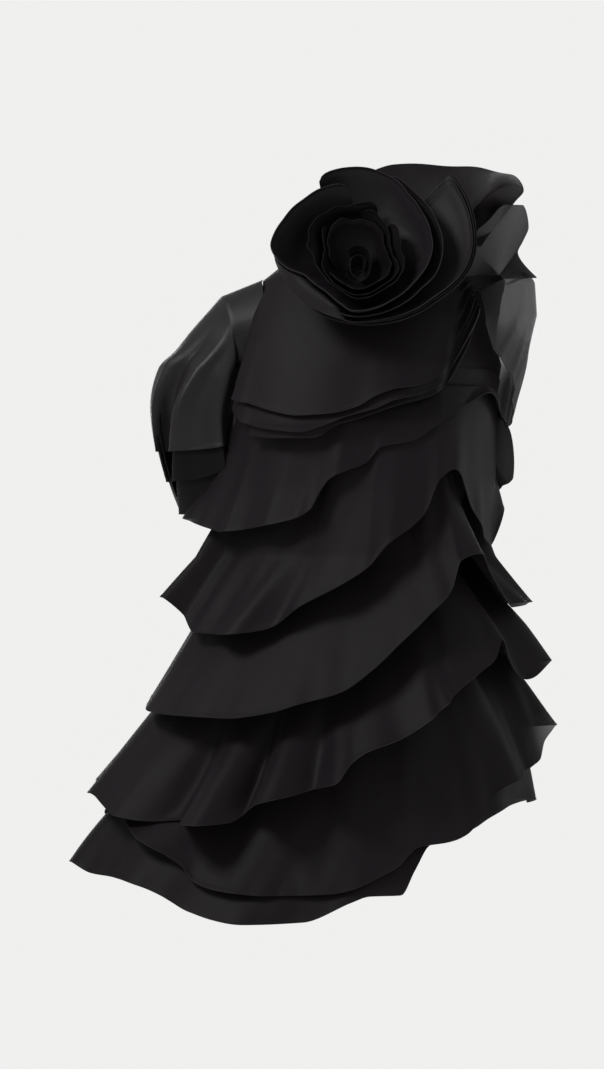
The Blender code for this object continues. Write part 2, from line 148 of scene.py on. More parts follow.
WEAVE = 0.9
WEAVE_SHARE = 0.5  # how high the weave stands beside the slubs
CLOUD = {"Scale": 6, "Detail": 2}  # broad patches that are lighter and rougher
SLUB = {"Scale": 1, "Detail": 2}
SLUB_STRETCH = (40, 900, 1)  # thick threads lie across the cut, long and thin
CRUMPLE = {"Scale": 26, "Detail": 3, "Roughness": 0.45, "Distortion": 0.5}
CRUMPLE_RELIEF = {"Distance": 0.0018, "Strength": 0.35}
THREAD_RELIEF = {"Distance": 0.00012, "Strength": 0.5}
LIGHTER = dict(cloud=0.7, slub=0.3)  # how much of the way from dark to light each one takes the thread
ROUGHER = dict(cloud=0.16, slub=0.08, start=0.12)  # what each adds to a roughness that starts lower
NAP = {"Sheen Roughness": 0.4, "Sheen Tint": (0.9, 0.82, 0.9, 1)}


def organza(name, dark, light, roughness, sheen, satin):
    """A cloth finish whose weave follows the cut, and whose cover is the piece's own attribute."""
    finish = bpy.data.materials.new(name)
    finish.use_nodes = True
    tree = finish.node_tree
    tree.nodes.clear()
    thread = Thread(tree)
    cut = thread.node("ShaderNodeUVMap", {}, uv_map="cut")
    across = thread.node("ShaderNodeSeparateXYZ", {"Vector": cut}, "X")
    down = thread.node("ShaderNodeSeparateXYZ", {"Vector": cut}, "Y")
    turns = 2 * math.pi / (WEAVE * MM)
    weave = thread.math("SINE", across * turns) * thread.math("SINE", down * turns)
    place = thread.node("ShaderNodeTexCoord", {}, "Object")
    cloud = thread.node("ShaderNodeTexNoise", {"Vector": place, **CLOUD})
    slub_place = thread.node("ShaderNodeMapping", {"Vector": cut, "Scale": SLUB_STRETCH})
    slub = thread.node("ShaderNodeTexNoise", {"Vector": slub_place, **SLUB})
    crumple = thread.node("ShaderNodeTexNoise", {"Vector": place, **CRUMPLE})
    soft = thread.node("ShaderNodeBump", {"Height": crumple, **CRUMPLE_RELIEF})
    fine = thread.node(
        "ShaderNodeBump", {"Height": weave * WEAVE_SHARE + slub, "Normal": soft, **THREAD_RELIEF}
    )
    lightness = cloud * LIGHTER["cloud"] + slub * LIGHTER["slub"]
    mixed = thread.node(
        "ShaderNodeMix", {"Factor": lightness, 6: (*dark, 1), 7: (*light, 1)}, 2, data_type="RGBA"
    )
    uneven = cloud * ROUGHER["cloud"] + slub * ROUGHER["slub"]
    cover = thread.node("ShaderNodeAttribute", {}, "Fac", attribute_name="cover")
    shader = thread.node("ShaderNodeBsdfPrincipled", {
        "Base Color": mixed,
        "Roughness": uneven + (roughness - ROUGHER["start"]),
        "Alpha": cover,
        "Normal": fine,
        "Metallic": 0.0,
        "IOR": 1.5,
        "Specular IOR Level": satin,
        "Sheen Weight": sheen,
        **NAP,
    })
    thread.node("ShaderNodeOutputMaterial", {"Surface": shader})
    return finish


def table(columns, *rows):
    """A short table with named columns, a row for each section or fold, read along its first column."""
    values = np.array(sorted(rows), float)
    return dict(zip(columns.split(), values.T))


def read(rows, column, at):
    """A column's value along the first column, on a smooth curve that doesn't overshoot its rows."""
    places, values = next(iter(rows.values())), rows[column]
    gaps = np.diff(places)
    slopes = np.diff(values) / gaps
    same_way = slopes[:-1] * slopes[1:] > 0
    total = np.where(same_way, slopes[:-1] + slopes[1:], 1)
    inner = np.where(same_way, 2 * slopes[:-1] * slopes[1:] / total, 0)
    tangents = np.concatenate([slopes[:1], inner, slopes[-1:]])
    at = np.clip(at, places[0], places[-1])
    i = np.clip(np.searchsorted(places, at, side="right") - 1, 0, len(gaps) - 1)
    s = (at - places[i]) / gaps[i]
    rise = (3 - 2 * s) * s * s
    start, end = s * (1 - s) ** 2 * tangents[i], s * s * (s - 1) * tangents[i + 1]
    return values[i] * (1 - rise) + values[i + 1] * rise + gaps[i] * (start + end)


def ease(low, high, at):
    """0 before low, 1 after high, and a smooth step between them."""
    s = np.clip((at - low) / (high - low), 0, 1)
    return s * s * (3 - 2 * s)


def spread(rows, columns):
    """Even places, one for each edge of so many columns, from a table's first row to its last."""
    places = next(iter(rows.values()))
    return np.linspace(places[0], places[-1], columns + 1)


def lengths(points):
    """How far each point lies along its own column of a grid, from the first row, in metres."""
    steps = np.linalg.norm(np.diff(points, axis=0), axis=-1)
    return np.vstack([np.zeros(points.shape[1]), np.cumsum(steps, axis=0)])


SHEET = 0.5  # the wall of one loose layer
HEM = 1.1  # the wall of the narrow hem, folded twice
SHARP = math.radians(60)
# Each finish: its darkest and lightest thread, roughness, nap, and how much light its face throws back.
BLACK = organza("black organza", (0.0070, 0.0056, 0.0068), (0.0152, 0.0121, 0.0145), 0.5, 0.04, 0.15)
# A darker copy of the black organza: painted shade for the layers that lie deep inside the sleeve and the
# rose.
SHADE_PAINTED_BLACK = organza("organza painted with shade", (0.0050, 0.0042, 0.0049), (0.0095, 0.0078, 0.0091), 0.55, 0.02, 0.1)
SATIN_BLACK = organza("satin organza", (0.0068, 0.0055, 0.0066), (0.0143, 0.0114, 0.0136), 0.4, 0.03, 0.46)
# A lighter copy of the black organza for the rose: painted light that lifts its shaded petals.
LIGHT_PAINTED_PETAL_BLACK = organza("rose organza painted lighter", (0.0082, 0.0069, 0.0083), (0.0170, 0.0140, 0.0166), 0.48, 0.04, 0.27)
SHEER = organza("sheer organza", (0.030, 0.028, 0.031), (0.055, 0.051, 0.055), 0.55, 0.1, 0.2)
# The rims of the raw cut edges, lighter than the cloth: a painted highlight along them.
HIGHLIGHT_PAINTED_EDGE = organza("raw edge", (0.016, 0.014, 0.016), (0.034, 0.031, 0.034), 0.6, 0.08, 0.2)
# Lighter still: a brighter painted highlight along the cape's stacked edges.
BRIGHT_HIGHLIGHT_PAINTED_EDGE = organza("raw edge with brighter painted highlight", (0.026, 0.024, 0.027), (0.052, 0.048, 0.052), 0.55, 0.1, 0.2)
# Darker rims: painted shade on the edges of the petals deep in the rose.
SHADE_PAINTED_EDGE = organza("raw edge painted with shade", (0.008, 0.007, 0.008), (0.015, 0.013, 0.015), 0.6, 0.03, 0.1)
hems = []  # the hems that carry stitches: each piece's last rows of points, and if it is a ring


def sheet(name, node, points, finish, slot, ring=False, cover=1.0, rim=None):
    """A piece of cloth from a grid of points, rows down by columns round, which stands for a solid."""
    rows, columns = points.shape[:2]
    corner = np.arange(rows * columns).reshape(rows, columns)
    closed = points
    if ring:
        corner = np.hstack([corner, corner[:, :1]])
        closed = np.concatenate([points, points[:, :1]], axis=1)
    quads = np.stack([corner[:-1, :-1], corner[1:, :-1], corner[1:, 1:], corner[:-1, 1:]], axis=-1)
    mesh = bpy.data.meshes.new(name)
    mesh.from_pydata(points.reshape(-1, 3).tolist(), [], quads.reshape(-1, 4).tolist())
    down = lengths(closed)
    across = np.broadcast_to(lengths(closed.transpose(1, 0, 2))[:, -1], down.shape)
    cut = np.stack([across, down], axis=-1)
    corners = np.stack([cut[:-1, :-1], cut[1:, :-1], cut[1:, 1:], cut[:-1, 1:]], axis=-2)
    mesh.uv_layers.new(name="cut").data.foreach_set("uv", corners.astype(np.float32).ravel())
    covers = np.broadcast_to(cover, (rows, columns)).astype(np.float32)
    mesh.attributes.new("cover", "FLOAT", "POINT").data.foreach_set("value", covers.ravel())
    mesh.materials.append(finish)
    # The rims take the edge finish. By default this is the one with a painted highlight.
    mesh.materials.append(rim or HIGHLIGHT_PAINTED_EDGE)
    mesh.shade_smooth()
    piece = bpy.data.objects.new(name, mesh)
    bpy.context.scene.collection.objects.link(piece)
    near_hem = np.flatnonzero(lengths(points)[-1] - lengths(points) < HEM_DEPTH * MM)
    piece.vertex_groups.new(name="hem").add(near_hem.tolist(), 1, "ADD")
    wall = piece.modifiers.new("wall", "SOLIDIFY")
    wall.thickness = HEM * MM
    wall.offset = 0
    wall.vertex_group = "hem"
    wall.thickness_vertex_group = SHEET / HEM
    wall.material_offset_rim = 1
    depsgraph = bpy.context.evaluated_depsgraph_get()
    walled = bpy.data.meshes.new_from_object(piece.evaluated_get(depsgraph))
    walled.set_sharp_from_angle(angle=SHARP)
    walled.name = name
    piece.modifiers.clear()
    piece.vertex_groups.clear()
    piece.data = walled
    bpy.data.meshes.remove(mesh)
    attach(piece, "root")
    if node:
        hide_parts(node)
    if slot != "rose_organza":
        hems.append((points[-3:], ring))
    return piece


HEM_DEPTH = 3.2
HEM_ROWS = (0.975, 0.983, 0.991, 1.0)  # shares of the way down


def down_steps(rows):
    """Shares of the way down a piece, a row each, closer together along its hem."""
    return np.concatenate([np.linspace(0, HEM_ROWS[0], rows)[:-1], HEM_ROWS])[:, None]


def folded(rows, angle, t):
    """How far soft ridges and troughs move the cloth out, each along its own leaning line."""
    total = np.zeros(np.broadcast(angle, t).shape)
    for middle, width, depth, start, lean in zip(*rows.values()):
        line = middle + lean * (1 - t)
        away = (angle - line + 180) % 360 - 180
        total = total + depth * np.exp(-((away / width) ** 2)) * ease(start, 1, t)
    return total


RIPPLES = dict(counts=(13, 19, 29, 43), lean=14, least=0.5, thinner=0.7, late=2.2)


def rippled(seed, angle, t, size):
    """Small uneven waves that grow towards the hem."""
    draw = np.random.default_rng(seed)
    total = np.zeros(np.broadcast(angle, t).shape)
    for count in RIPPLES["counts"]:
        start, lean = draw.uniform(0, 360), draw.uniform(-RIPPLES["lean"], RIPPLES["lean"])
        wave = np.cos(np.radians(count * (angle + lean * t) + start))
        thinner = (RIPPLES["counts"][0] / count) ** RIPPLES["thinner"]
        total = total + wave * size * draw.uniform(RIPPLES["least"], 1) * thinner
    return total * t ** RIPPLES["late"]


# The figure inside the dress: half its width, and how far its front and back lie from the leaning axis.
BODY = table(
    "height width front back",
    (15, 66, 60, 60), (-12, 104, 72, 70), (-50, 146, 86, 82), (-90, 156, 100, 92), (-150, 155, 115, 98),
    (-220, 150, 125, 100), (-300, 135, 110, 92), (-380, 126, 99, 88), (-460, 148, 110, 104),
    (-840, 214, 160, 164),
)
LEAN = 0.14


def on_body(height, angle, out):
    """Points that stand so far out from the body, at a height and an angle, in metres."""
    height, angle, out = np.broadcast_arrays(height, angle, out)
    turn = np.radians(angle)
    width, front, back = (
        np.interp(height, BODY["height"], BODY[column]) for column in ("width", "front", "back")
    )
    depth = np.where(np.sin(turn) < 0, front, back)
    x = LEAN * height + (width + out) * np.cos(turn)
    return np.stack([x, (depth + out) * np.sin(turn), height], axis=-1) * MM


# Six flounces, each a deep ring cut on the curve, sewn on under the one above. Their hems climb to the
# wearer's left. The cloth falls in soft folds, deepest over the thigh, and in plainer ones at the back.
SEAM_OUT = 2.0
TUCK = 45  # how far above the hem that covers it a flounce is sewn on
SEAM_APART = 20
CLEAR = 5
FLOUNCE_ROWS = 30
FRONT_COLUMNS, BACK_COLUMNS = 240, 160
ANGLES = np.concatenate([
    np.linspace(-180, 0, FRONT_COLUMNS + 1)[:-1],
    np.linspace(0, 180, BACK_COLUMNS + 1)[:-1],
])
BACK_UNEVEN = (0.8, 1.25, 0.9, 1.1, 0.75, 1.3, 1.0, 0.85, 1.2, 0.95)
BACK_NEXT = 3  # how many places further along that list a fold's depth is read than its width
CREST_LIFT = 0.33  # how far the hem rises at a crest, as a share of how far it swings out
BACK_SINK = 0.5  # how much closer the back's folds lie, as a share of their swing
TOP_SEAM = table(
    "angle height", (-180, -178), (-150, -165), (-90, -155), (-30, -156), (0, -170), (90, -178), (180, -178)
)


def flounce_hem(folds, swing, *rows):
    """The hem's rows round the front, then so many uneven folds round the back to where it began."""
    first, last = min(rows), max(rows)
    turn = 360 + first[0] - last[0]
    shares = np.cumsum([BACK_UNEVEN[i % len(BACK_UNEVEN)] for i in range(2 * folds)])
    whole = list(rows)
    for i, share in enumerate(shares[:-1] / shares[-1]):
        crest = (swing if i % 2 else -swing) * BACK_UNEVEN[(i + BACK_NEXT) % len(BACK_UNEVEN)]
        height = last[1] + (first[1] - last[1]) * ease(0, 1, share) + crest * CREST_LIFT
        middle = min(first[2], last[2]) - swing * BACK_SINK
        whole.append((last[0] + turn * share, height, middle + crest))
    whole += [(row[0] - 360, *row[1:]) for row in whole] + [(row[0] + 360, *row[1:]) for row in whole]
    return table("angle height out", *whole)


def clear_of(under, heights, out):
    """Each column of points pushed out where it comes nearer than CLEAR to the flounce beneath."""
    under_heights, under_out = under
    pushed = out.copy()
    for column in range(out.shape[1]):
        known = under_heights[::-1, column], under_out[::-1, column]
        below = np.interp(heights[:, column], *known, left=-CLEAR, right=-CLEAR)
        pushed[:, column] = np.maximum(out[:, column], below + CLEAR)
    return pushed


# A small fall lets the cloth leave the body close under its seam, and the sides have falls of their own.
# Each sheer place has its angle, width, where it starts on the way down, and the least that it covers.
FOLD = "angle width depth start lean"
FLOUNCES = {
    "bust_flounce": dict(
        node="flounce_bust", fall=1.9, left_fall=3.2, right_fall=1.2,
        hem=flounce_hem(
            4, 9,
            (-180, -334, 70), (-163, -341, 62), (-149, -350, 49), (-128, -344, 45), (-115, -336, 41),
            (-107, -324, 40), (-104, -300, 33), (-101, -287, 28), (-95, -278, 24), (-87, -268, 22),
            (-82, -250, 19), (-69, -242, 18), (-57, -218, 16), (-43, -196, 16), (-31, -184, 16),
            (-15, -228, 28), (-6, -288, 49), (6, -296, 42), (16, -305, 38),
        ),
        folds=table(
            FOLD, (-146, 3, 5, 0.3, 4), (-138, 5, -3, 0.3, 2), (-122, 7, 3, 0.4, -6), (-108, 3, 3, 0.6, -3),
            (-96, 5, 6, 0.5, -10), (-84, 4, -2, 0.5, -6), (-60, 6, 2, 0.4, -6), (-12, 5, 5, 0.4, 0),
        ),
        sheer=((-176, 11, 0.75, 0.72), (-8, 14, 0.2, 0.86)),
    ),
    "waist_flounce": dict(
        node="flounce_waist", fall=1.1, left_fall=0.8, right_fall=0.7,
        hem=flounce_hem(
            5, 10,
            (-162, -428, 85), (-157, -452, 52), (-149, -470, 49), (-129, -472, 50), (-116, -466, 46),
            (-104, -438, 48), (-91, -414, 55), (-81, -390, 60), (-75, -364, 60), (-70, -352, 58),
            (-62, -328, 54), (-58, -290, 46), (-51, -276, 42), (-38, -322, 48), (-25, -358, 49),
            (-13, -366, 53), (-5, -322, 50),
        ),
        folds=table(
            FOLD, (-176, 9, 5, 0.1, 0), (-128, 6, 10, 0.2, 24), (-141, 6, -7, 0.3, 10),
            (-112, 6, -7, 0.3, 18), (-92, 6, 3, 0.5, 8), (-70, 5, -2, 0.5, 2), (-30, 5, 4, 0.5, 0),
            (-14, 4, -4, 0.5, 0),
        ),
        sheer=((-8, 8, 0.3, 0.96),),
    ),
    "hip_flounce": dict(
        node="flounce_hip", fall=1.2, left_fall=1.2, right_fall=1.05,
        hem=flounce_hem(
            5, 11,
            (-176, -546, 44), (-166, -556, 54), (-156, -564, 64), (-140, -568, 64), (-119, -571, 65),
            (-106, -564, 64), (-98, -554, 64), (-86, -540, 66), (-78, -516, 68), (-69, -480, 73),
            (-60, -444, 78), (-54, -420, 82), (-50, -384, 86), (-42, -376, 88), (-22, -440, 80),
            (-8, -434, 92),
        ),
        folds=table(
            FOLD, (-146, 6, 3, 0.4, 6), (-126, 8, -2, 0.4, 6), (-110, 8, 2, 0.4, 4), (-72, 6, 2, 0.5, 0),
            (-56, 4, 3, 0.5, 0), (-34, 5, -5, 0.4, 0), (-16, 4, 5, 0.5, 0),
        ),
        sheer=((-12, 9, 0.6, 0.72),),
    ),
    "thigh_flounce": dict(
        node="flounce_thigh", fall=1.4, left_fall=0.6, right_fall=0.8,
        hem=flounce_hem(
            6, 12,
            (-165, -662, 93), (-157, -674, 84), (-148, -688, 79), (-139, -694, 70), (-131, -692, 54),
            (-124, -696, 72), (-118, -697, 84), (-112, -694, 72), (-108, -677, 56), (-103, -670, 80),
            (-96, -662, 79), (-90, -654, 68), (-85, -648, 84), (-81, -624, 74), (-77, -610, 81),
            (-68, -594, 87), (-60, -566, 98), (-53, -542, 92), (-44, -516, 92), (-38, -502, 92),
            (-33, -478, 89), (-24, -526, 99), (-13, -504, 116),
        ),
        folds=table(
            FOLD, (-150, 6, 7, 0.1, 5), (-135, 6, -19, 0.02, 6), (-121, 6, 14, 0.1, 5),
            (-110, 4, -17, 0.05, 4), (-102, 4.5, 11, 0.2, 3), (-91, 5, -7, 0.3, 2), (-84, 3.2, 9, 0.3, 2),
            (-62, 3.5, 5, 0.4, 2), (-59, 1.2, -4, 0.7, 0), (-56, 1.2, 3, 0.7, 0), (-50, 4, -3, 0.4, 0),
            (-28, 4, -6, 0.5, 0),
        ),
        sheer=((-13, 5, 0.8, 0.8),),
    ),
    "lower_flounce": dict(
        node="flounce_lower", fall=1.15, left_fall=0.7, right_fall=0.7,
        hem=flounce_hem(
            6, 12,
            (-180, -690, 52), (-166, -680, 58), (-156, -678, 64), (-144, -706, 70), (-134, -724, 66),
            (-125, -746, 58), (-120, -764, 56), (-111, -775, 53), (-99, -780, 52), (-82, -778, 52),
            (-65, -750, 56), (-58, -724, 60), (-50, -718, 66), (-44, -708, 72), (-40, -688, 80),
            (-33, -656, 88), (-19, -626, 99), (-9, -581, 122),
        ),
        folds=table(
            FOLD, (-136, 5, 4, 0.3, 4), (-124, 4, -4, 0.4, 3), (-108, 6, 4, 0.4, 2), (-92, 5, -3, 0.4, 2),
            (-74, 6, 4, 0.4, 2), (-56, 4, -5, 0.4, 0), (-46, 4, 4, 0.5, 0), (-36, 3, -4, 0.4, 2),
            (-29, 2.5, 4, 0.3, 3), (-23, 1.6, -4, 0.2, 6), (-18, 1.6, 4, 0.2, 6), (-14, 1.5, -3, 0.2, 5),
        ),
        sheer=((-9, 8, 0.6, 0.62),),
    ),
    "hem_flounce": dict(
        node="flounce_hem", fall=0.35, left_fall=0.2, right_fall=0.5,
        hem=flounce_hem(
            6, 12,
            (-166, -744, 88), (-158, -756, 76), (-143, -763, 65), (-130, -779, 58), (-120, -799, 55),
            (-103, -814, 54), (-88, -811, 53), (-76, -788, 53), (-71, -781, 52), (-62, -780, 54),
            (-58, -751, 53), (-54, -722, 54), (-43, -708, 60), (-24, -676, 77), (-13, -670, 92),
        ),
        folds=table(
            FOLD, (-150, 5, -4, 0.4, 2), (-138, 5, 4, 0.4, 2), (-122, 5, -4, 0.4, 2), (-104, 6, 4, 0.4, 2),
            (-90, 5, -3, 0.4, 0), (-76, 5, 4, 0.4, 0), (-40, 4, 4, 0.4, 0),
        ),
        sheer=((-14, 6, 0.8, 0.8),),
    ),
}
BACK_FOLDS = table(
    FOLD, (18, 6, -6, 0.2, 3), (38, 7, 6, 0.2, -2), (61, 6, -5, 0.3, 2), (79, 7, 6, 0.2, -3),
    (103, 8, -7, 0.2, 2), (124, 6, 5, 0.3, 3), (146, 7, -6, 0.2, -2), (166, 6, 5, 0.3, 2),
)
BACK_TURN = 7  # how far round the back's folds move from one flounce to the next
SIDE_HOLD = 4  # above 1, a side's own fall holds only close to that side
RIPPLE = 1.1

seams = []
seam = read(TOP_SEAM, "height", ANGLES)
for flounce in FLOUNCES.values():
    seams.append(seam)
    seam = np.minimum(read(flounce["hem"], "height", ANGLES) + TUCK, seam - SEAM_APART)

steps = down_steps(FLOUNCE_ROWS)
under = None
for number, (name, flounce) in list(enumerate(FLOUNCES.items()))[::-1]:
    hem = flounce["hem"]
    heights = seams[number] + (read(hem, "height", ANGLES) - seams[number]) * steps
    sideways = np.cos(np.radians(ANGLES))
    left, right = np.maximum(sideways, 0) ** SIDE_HOLD, np.maximum(-sideways, 0) ** SIDE_HOLD
    fall = flounce["fall"] + (flounce["left_fall"] - flounce["fall"]) * left
    fall = fall + (flounce["right_fall"] - flounce["fall"]) * right
    out = SEAM_OUT + (read(hem, "out", ANGLES) - SEAM_OUT) * steps**fall
    out += folded(flounce["folds"], ANGLES, steps) + folded(BACK_FOLDS, ANGLES + BACK_TURN * number, steps)
    out += rippled(number, ANGLES, steps, RIPPLE)
    out = np.maximum(out, SEAM_OUT)
    if under:
        out[1:] = clear_of(under, heights[1:], out[1:])
    under = (heights, out)
    cover = np.ones(out.shape)
    for middle, width, start, least in flounce["sheer"]:
        away = (ANGLES - middle + 180) % 360 - 180
        cover -= (1 - least) * np.exp(-((away / width) ** 2)) * ease(start, 1, steps)
    sheet(name, flounce["node"], on_body(heights, ANGLES, out), BLACK, "black_organza", ring=True,
          cover=cover)


# The base dress, of the same cloth, doubled: a bodice front, two bodice backs and a skirt front and back,
# seamed at the sides, shoulders, waist and middle of the back. Only its edges show from the front.
NECK_HEIGHT = 15
NECK_SCOOP = 40
SIDE_SEAM = 0.06
ARMHOLE_MIDDLE, ARMHOLE_HEIGHT, ARMHOLE_ANGLE = -102, 50, 24
YOKE_HEIGHT = -60
WAIST = -380
WAIST_SEAM = 0.35
BACK_LAP = dict(share=0.004, inward=0.9, eased=(0.488, 0.496))  # the left back's edge, under the right's
PANEL_COLUMNS = 90
PANEL_BELOW_SEAM = 40
PANEL_ROWS = dict(yoke=8, bodice=36, skirt=28)


def neckline(angle):
    dip = np.where(np.sin(np.radians(angle)) < 0, NECK_SCOOP, 0)
    return NECK_HEIGHT - dip * np.sin(np.radians(angle)) ** 2


def panel(name, node, start, share, heights, out=0):
    """A sheet over a share of half the round from its start angle, armholes out of that half's edges."""
    inside = 1 - ((heights[:, :1] - ARMHOLE_MIDDLE) / ARMHOLE_HEIGHT) ** 2
    edge = np.maximum(ARMHOLE_ANGLE * np.sqrt(np.maximum(inside, 0)), SIDE_SEAM)
    points = on_body(heights, start + edge + (180 - 2 * edge) * share, out)
    sheet(name, node, points, BLACK, "black_organza")


BODICES = {
    "front_bodice": ("bodice_front", -180, 0, 1),
    "left_bodice_back": ("bodice_back_left", 0, 0, 0.5 + BACK_LAP["share"]),
    "right_bodice_back": ("bodice_back_right", 0, 0.5, 1),
}
for name, (node, start, first, last) in BODICES.items():
    share = np.linspace(first, last, round(PANEL_COLUMNS * (last - first)) + 1)
    top = neckline(start + 180 * share)
    yoke = top + (YOKE_HEIGHT - top) * np.linspace(0, 1, PANEL_ROWS["yoke"])[:-1, None]
    trunk = np.linspace(YOKE_HEIGHT, WAIST + WAIST_SEAM, PANEL_ROWS["bodice"])[:, None] + 0 * share
    lapped = ease(*BACK_LAP["eased"], share) * (last < 1)
    panel(name, node, start, share, np.vstack([yoke, trunk]), -BACK_LAP["inward"] * lapped)

share = np.linspace(0, 1, PANEL_COLUMNS + 1)
for name, node, start in (("front_skirt", "skirt_front", -180), ("back_skirt", "skirt_back", 0)):
    low = np.interp(start + 180 * share, ANGLES, seams[-1], period=360) - PANEL_BELOW_SEAM
    top = WAIST - WAIST_SEAM
    panel(name, node, start, share, top + (low - top) * down_steps(PANEL_ROWS["skirt"]))


# The chest cape: three layers of organza sewn together along the neckline, the top one shortest. Its side
# edges are raw and lie one beside the next.
CAPE_NECK = table(
    "angle height", (-157, -47), (-148, -40), (-135, -34), (-115, -32), (-90, -34), (-70, -34), (-43, -52)
)
CAPE_FALL = 1.25
CAPE_APART = 2.8  # from one layer's middle to the next at the neckline
CAPE_COLUMNS = 130
CAPE_ROWS = 40
CAPES = {
    "cape_lining": dict(node="cape_under", layer=1, hem=table(
        "angle height out",
        (-140, -236, 30), (-127, -239, 30), (-110, -239, 28), (-101, -224, 27), (-92, -215, 25),
        (-77, -199, 22), (-65, -190, 20), (-57, -174, 17), (-53, -144, 14), (-49, -110, 12),
        (-46, -90, 10),
    )),
    "cape_second": dict(node="cape_middle", layer=2, hem=table(
        "angle height out",
        (-155, -203, 26), (-149, -211, 31), (-141, -221, 34), (-127, -229, 34), (-115, -232, 33),
        (-107, -226, 32), (-98, -214, 31), (-87, -204, 30), (-80, -194, 29), (-69, -186, 27),
        (-60, -170, 24), (-55, -138, 20), (-52, -112, 17), (-49, -84, 15),
    )),
    "cape_face": dict(node="cape_top", layer=3, hem=table(
        "angle height out",
        (-149, -192, 38), (-139, -197, 38), (-127, -206, 38), (-116, -212, 37), (-104, -210, 37),
        (-94, -202, 35), (-87, -188, 34), (-80, -180, 33), (-73, -177, 32), (-64, -164, 30),
        (-59, -134, 26), (-55, -104, 22), (-52, -74, 19),
    )),
}
CAPE_FOLDS = table(
    FOLD, (-143, 3, 2, 0.3, 0), (-120, 12, 2, 0.3, 0), (-98, 9, -2, 0.3, 4), (-78, 6, 2, 0.4, 6),
    (-66, 4, -1.5, 0.4, 6), (-58, 3, -4, 0.1, 4), (-50, 4, 9, 0.02, 3),
)
CAPE_CRUMPLE = dict(width=4, depth=3, waves=22, shift=2)  # the raw right edges, crushed into small waves
for name, cape in CAPES.items():
    angle = spread(cape["hem"], CAPE_COLUMNS)
    steps = down_steps(CAPE_ROWS)
    top = read(CAPE_NECK, "height", angle)
    heights = top + (read(cape["hem"], "height", angle) - top) * steps
    first = cape["layer"] * CAPE_APART
    out = first + (read(cape["hem"], "out", angle) - first) * steps**CAPE_FALL
    out += folded(CAPE_FOLDS, angle, steps)
    near_edge = np.exp(-(((angle - angle[-1]) / CAPE_CRUMPLE["width"]) ** 2))
    wave = np.sin(CAPE_CRUMPLE["waves"] * steps + CAPE_CRUMPLE["shift"] * cape["layer"])
    out += CAPE_CRUMPLE["depth"] * near_edge * wave
    # The cape's edges get the brighter painted highlight.
    sheet(name, cape["node"], on_body(heights, angle, out), BLACK, "black_organza", rim=BRIGHT_HIGHLIGHT_PAINTED_EDGE)


# The right sleeve: three flounces round the arm, one inside the next, set into the armhole. The cloth
# stands off the arm in one sharp ridge, a hollow behind it and a deep trough towards the chest.
SLEEVE = table(
    "along outer_x outer_z inner_x inner_z depth front_shear back_shear",
    (0.2, -202, -68, -189, -164, 46, 8, 8),
    (0.4, -231, -106, -193, -182, 50, 27, 24),
    (0.52, -249, -130, -197, -192, 52, 33, 27),
    (0.6, -267, -149, -200, -202, 54, 40, 30),
    (0.8, -280, -200, -206, -222, 57, 43, 24),
    (1.0, -274, -254, -211, -241, 60, 44, 20),
    (1.3, -262, -302, -212, -268, 64, 44, 16),
    (1.5, -254, -326, -207, -300, 64, 42, 12),
)
SLEEVE_RING = dict(middle=-103, height=55, angle=27)
SLEEVE_COLUMNS = 220
SLEEVE_START = 0.2  # how far along the armhole's ring has become the table's first section
SLEEVE_INSET = 3  # how much further in each inner layer stands at the open end
HOLLOW_DEEPER = 0.4  # the hollow's added depth in each inner layer, as a share
SLEEVE_LAYERS = {
    "sleeve_face": dict(node="sleeve_outer", ends=(0, 1.0), rows=60, finish=SATIN_BLACK),
    # The inner layers are painted darker, as shade.
    "sleeve_inside": dict(node="sleeve_second", ends=(0.8, 1.18), rows=16, finish=SHADE_PAINTED_BLACK),
    "sleeve_innermost": dict(node="sleeve_third", ends=(0.8, 1.42), rows=20, finish=SHADE_PAINTED_BLACK),
}
SLEEVE_FOLDS = table(
    FOLD, (26, 8, 14, 0.2, 50), (11, 6, -10, 0.35, 32), (70, 20, -7, 0.2, 14),
    (106, 14, -12, 0.1, 0), (141, 14, 5, 0.1, 0), (180, 16, 2, 0.2, 0), (222, 14, 6, 0.4, 0),
    (262, 16, -6, 0.4, 0), (305, 15, 6, 0.4, 0), (357, 7, 6, 0.4, 6),
)
SLEEVE_HOLLOW = table(FOLD, (10, 12, 25, 0.35, 32), (110, 13, 14, 0.05, 0))  # moved back, not in


def sleeve_rings(along, layer):
    """Points round a sleeve layer, a row for each share of its length; 0 is outside, 90 the front."""
    inset = layer * (SEAM_OUT + SLEEVE_INSET * along)
    degrees = np.linspace(0, 360, SLEEVE_COLUMNS + 1)[:-1]
    turn = np.radians(degrees)
    angle = 180 + SLEEVE_RING["angle"] * np.sin(turn)
    height = SLEEVE_RING["middle"] + SLEEVE_RING["height"] * np.cos(turn)
    armhole = on_body(height, angle, SEAM_OUT)
    here = {name: read(SLEEVE, name, np.maximum(along, SLEEVE_START)) for name in SLEEVE}
    grown = folded(SLEEVE_FOLDS, degrees, along) - inset
    half_x = (here["inner_x"] - here["outer_x"]) / 2 + grown
    half_z = (here["outer_z"] - here["inner_z"]) / 2 - inset
    x = (here["outer_x"] + here["inner_x"]) / 2 - half_x * np.cos(turn)
    x += np.where(turn < np.pi, here["front_shear"], here["back_shear"]) * np.sin(turn)
    z = (here["outer_z"] + here["inner_z"]) / 2 + half_z * np.cos(turn)
    y = folded(SLEEVE_HOLLOW, degrees, along) * (1 + HOLLOW_DEEPER * layer)
    y -= (here["depth"] + grown) * np.sin(turn)
    tube = np.stack([x, y, z], axis=-1) * MM
    return armhole + (tube - armhole) * np.clip(along / SLEEVE_START, 0, 1)[..., None]


for layer, (name, part) in enumerate(SLEEVE_LAYERS.items()):
    steps = down_steps(part["rows"])
    along = part["ends"][0] + (part["ends"][1] - part["ends"][0]) * steps
    sheet(name, part["node"], sleeve_rings(along, layer), part["finish"], "black_organza",
          ring=True)


